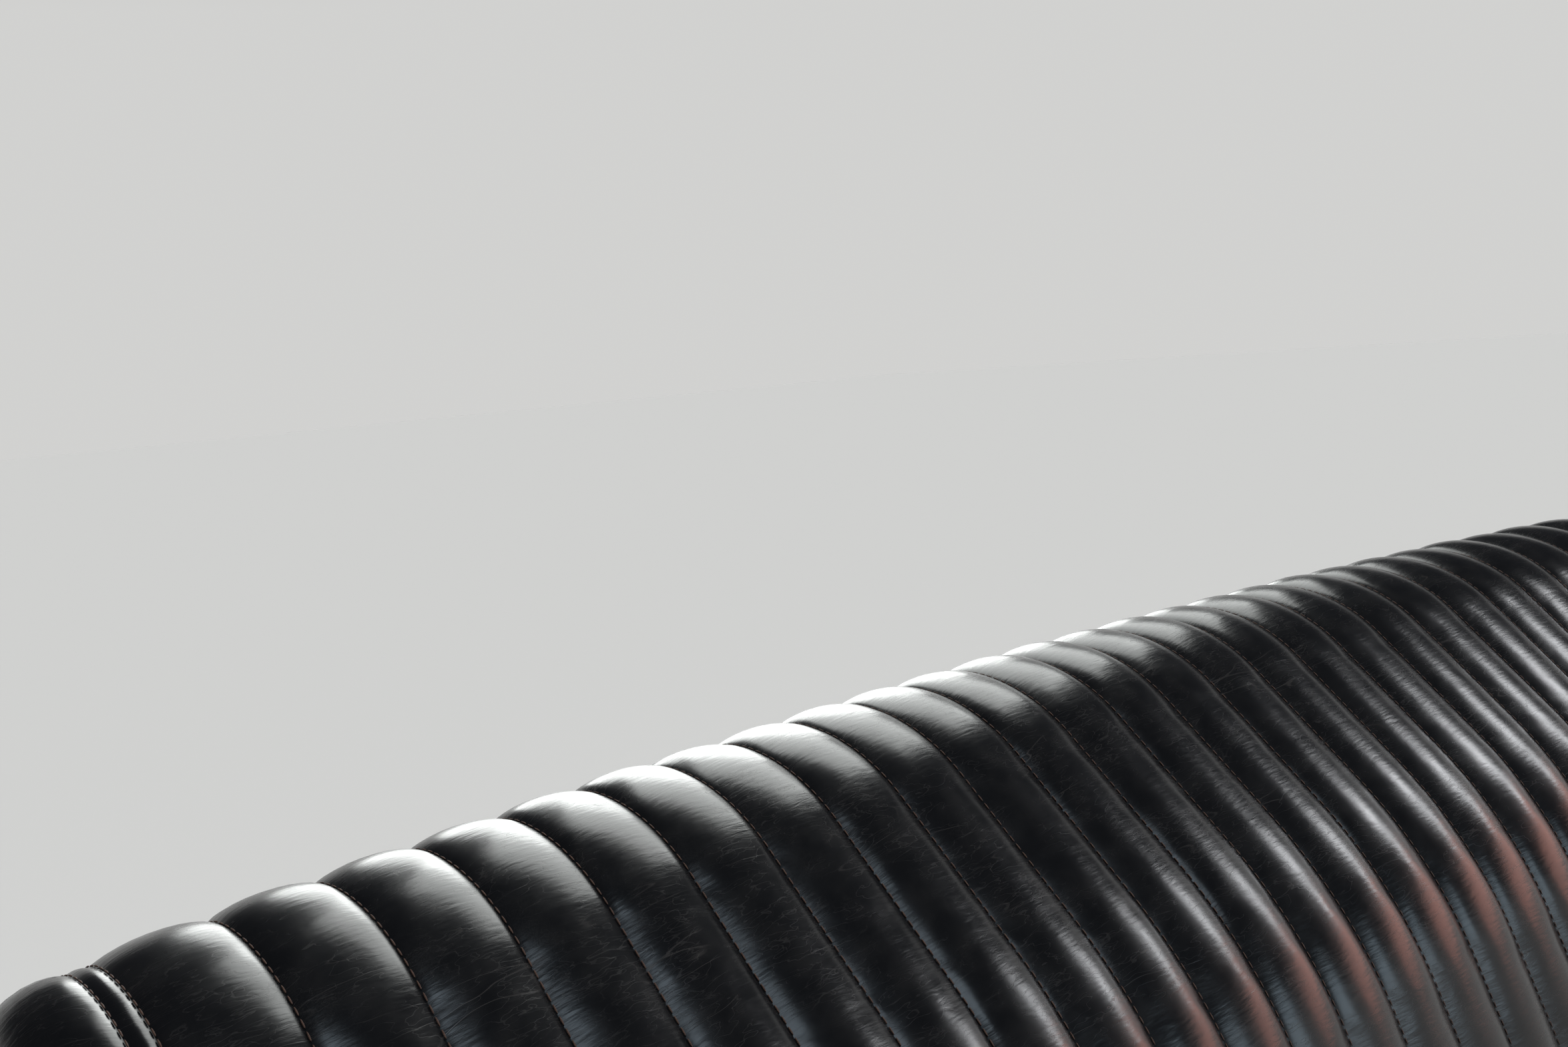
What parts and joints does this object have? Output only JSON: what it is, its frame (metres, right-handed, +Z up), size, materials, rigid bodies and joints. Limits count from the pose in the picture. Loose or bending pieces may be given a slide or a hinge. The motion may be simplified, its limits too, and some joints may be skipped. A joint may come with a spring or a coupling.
{
  "type": "pleated front bench seat",
  "caption": "Front bench seat of a two-door car: pleated leather cushion and one-piece folding backrest on sliding floor tracks.",
  "frame": {"origin": "centre of the four floor bolts, at floor level", "axes": "+Z up; -Y is the way the sitter faces; +X is the sitter's left"},
  "size_m": [1.44, 0.9645, 0.827],
  "materials": {
    "leather": "glossy creased",
    "panel": "satin grained",
    "frame_paint": "satin black enamel",
    "track_steel": "zinc plated",
    "spring_steel": "oiled",
    "bright": "polished",
    "rubber": "matt",
    "knob": "glossy"
  },
  "bodies": {
    "tracks": {"rail_left": "track_steel", "rail_right": "track_steel", "foot_front_left": "frame_paint", "foot_front_right": "frame_paint", "foot_rear_left": "frame_paint", "foot_rear_right": "frame_paint"},
    "base": {"cushion_pad": "leather", "cushion_end_left": "leather", "cushion_end_right": "leather", "hinge_bracket_left": "frame_paint", "hinge_bracket_right": "frame_paint", "hinge_pin_left": "bright", "hinge_pin_right": "bright", "back_stop_left": "rubber", "back_stop_right": "rubber", "frame_front": "frame_paint", "frame_rear": "frame_paint", "frame_side_left": "frame_paint", "frame_side_right": "frame_paint", "frame_middle": "frame_paint", "cushion_springs": "spring_steel", "slider_left": "track_steel", "slider_right": "track_steel", "track_catch_left": "track_steel", "track_catch_right": "track_steel", "release_rod": "track_steel", "release_lever": "bright", "release_knob": "knob"},
    "backrest": {"back_pad": "leather", "back_end_left": "leather", "back_end_right": "leather", "back_panel": "panel", "back_tube": "frame_paint", "hinge_arm_left": "frame_paint", "hinge_arm_right": "frame_paint"}
  },
  "joints": [
    {"name": "seat_slide", "type": "slide", "parent": "tracks", "child": "base", "axis": [0, -1, 0], "range_m": [-0.07, 0.07]},
    {"name": "back_fold", "type": "hinge", "parent": "base", "child": "backrest", "pos_m": [0, 0.165, 0.3], "axis": [1, 0, 0], "range_deg": [0, 55]}
  ]
}
